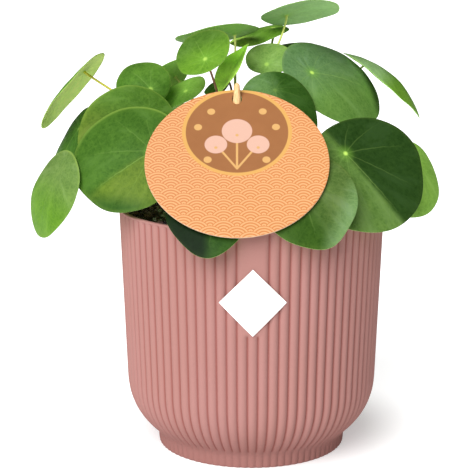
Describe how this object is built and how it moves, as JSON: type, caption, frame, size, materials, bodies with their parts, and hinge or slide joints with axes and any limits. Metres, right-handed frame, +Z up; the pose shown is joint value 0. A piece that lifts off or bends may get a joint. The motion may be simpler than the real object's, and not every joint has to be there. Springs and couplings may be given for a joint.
{
  "type": "potted plant",
  "caption": "Bushy pot plant with round coin-shaped leaves on long stalks, in a ribbed round-bellied pot, with a round card held on a wooden pick.",
  "frame": {"origin": "centre of the pot's flat foot, on the surface that it stands on", "axes": "+Z up along the pot's axis, -Y towards the front with the card and the label, +X to the viewer's right"},
  "size_m": [0.2159, 0.1593, 0.2339],
  "materials": {
    "pot_wall": "matt moulded plastic in dusty pink, with fine ribs",
    "label_paper": "plain white sticker, smooth",
    "soil": null,
    "stem": "living green stalk with a waxy skin, brown bark low on the trunk",
    "leaf_deep": "living leaf, waxy, deep green",
    "leaf_mid": "living leaf, waxy, mid green",
    "leaf_bright": "young living leaf, waxy, bright green",
    "leaf_pale": "living leaf, waxy, pale green with a silvery underside",
    "card": "printed card, peach with a fine wave pattern",
    "pick_wood": "bare bamboo"
  },
  "bodies": {
    "root": {"pot": "pot_wall", "label": "label_paper", "soil": "soil", "plant_stem": "stem", "leaf_far_left": "leaf_pale", "leaf_left_dome": "leaf_mid", "leaf_left_broad": "leaf_mid", "leaf_front_left": "leaf_mid", "leaf_left_dark": "leaf_deep", "leaf_left_low": "leaf_mid", "leaf_top_bright": "leaf_bright", "leaf_top_saucer": "leaf_pale", "leaf_top_mid": "leaf_deep", "leaf_top_right": "leaf_pale", "leaf_young": "leaf_deep", "leaf_top_pale": "leaf_mid", "leaf_right_big": "leaf_mid", "leaf_behind_card": "leaf_deep", "leaf_far_right": "leaf_pale", "leaf_right_dark": "leaf_deep", "leaf_front_right": "leaf_deep", "leaf_right_low": "leaf_deep", "leaf_front_low": "leaf_deep", "leaf_left_mid": "leaf_mid", "leaf_back_pale": "leaf_pale", "leaf_small_dark": "leaf_deep", "leaf_back_sliver": "leaf_mid", "leaf_back_left": "leaf_mid", "leaf_back_midleft": "leaf_mid", "leaf_back_midright": "leaf_deep", "leaf_back_right": "leaf_mid", "leaf_back_top": "leaf_mid", "leaf_back_centre": "leaf_mid", "leaf_back_upper_left": "leaf_deep", "card": "card", "pick": "pick_wood"}
  },
  "joints": []
}
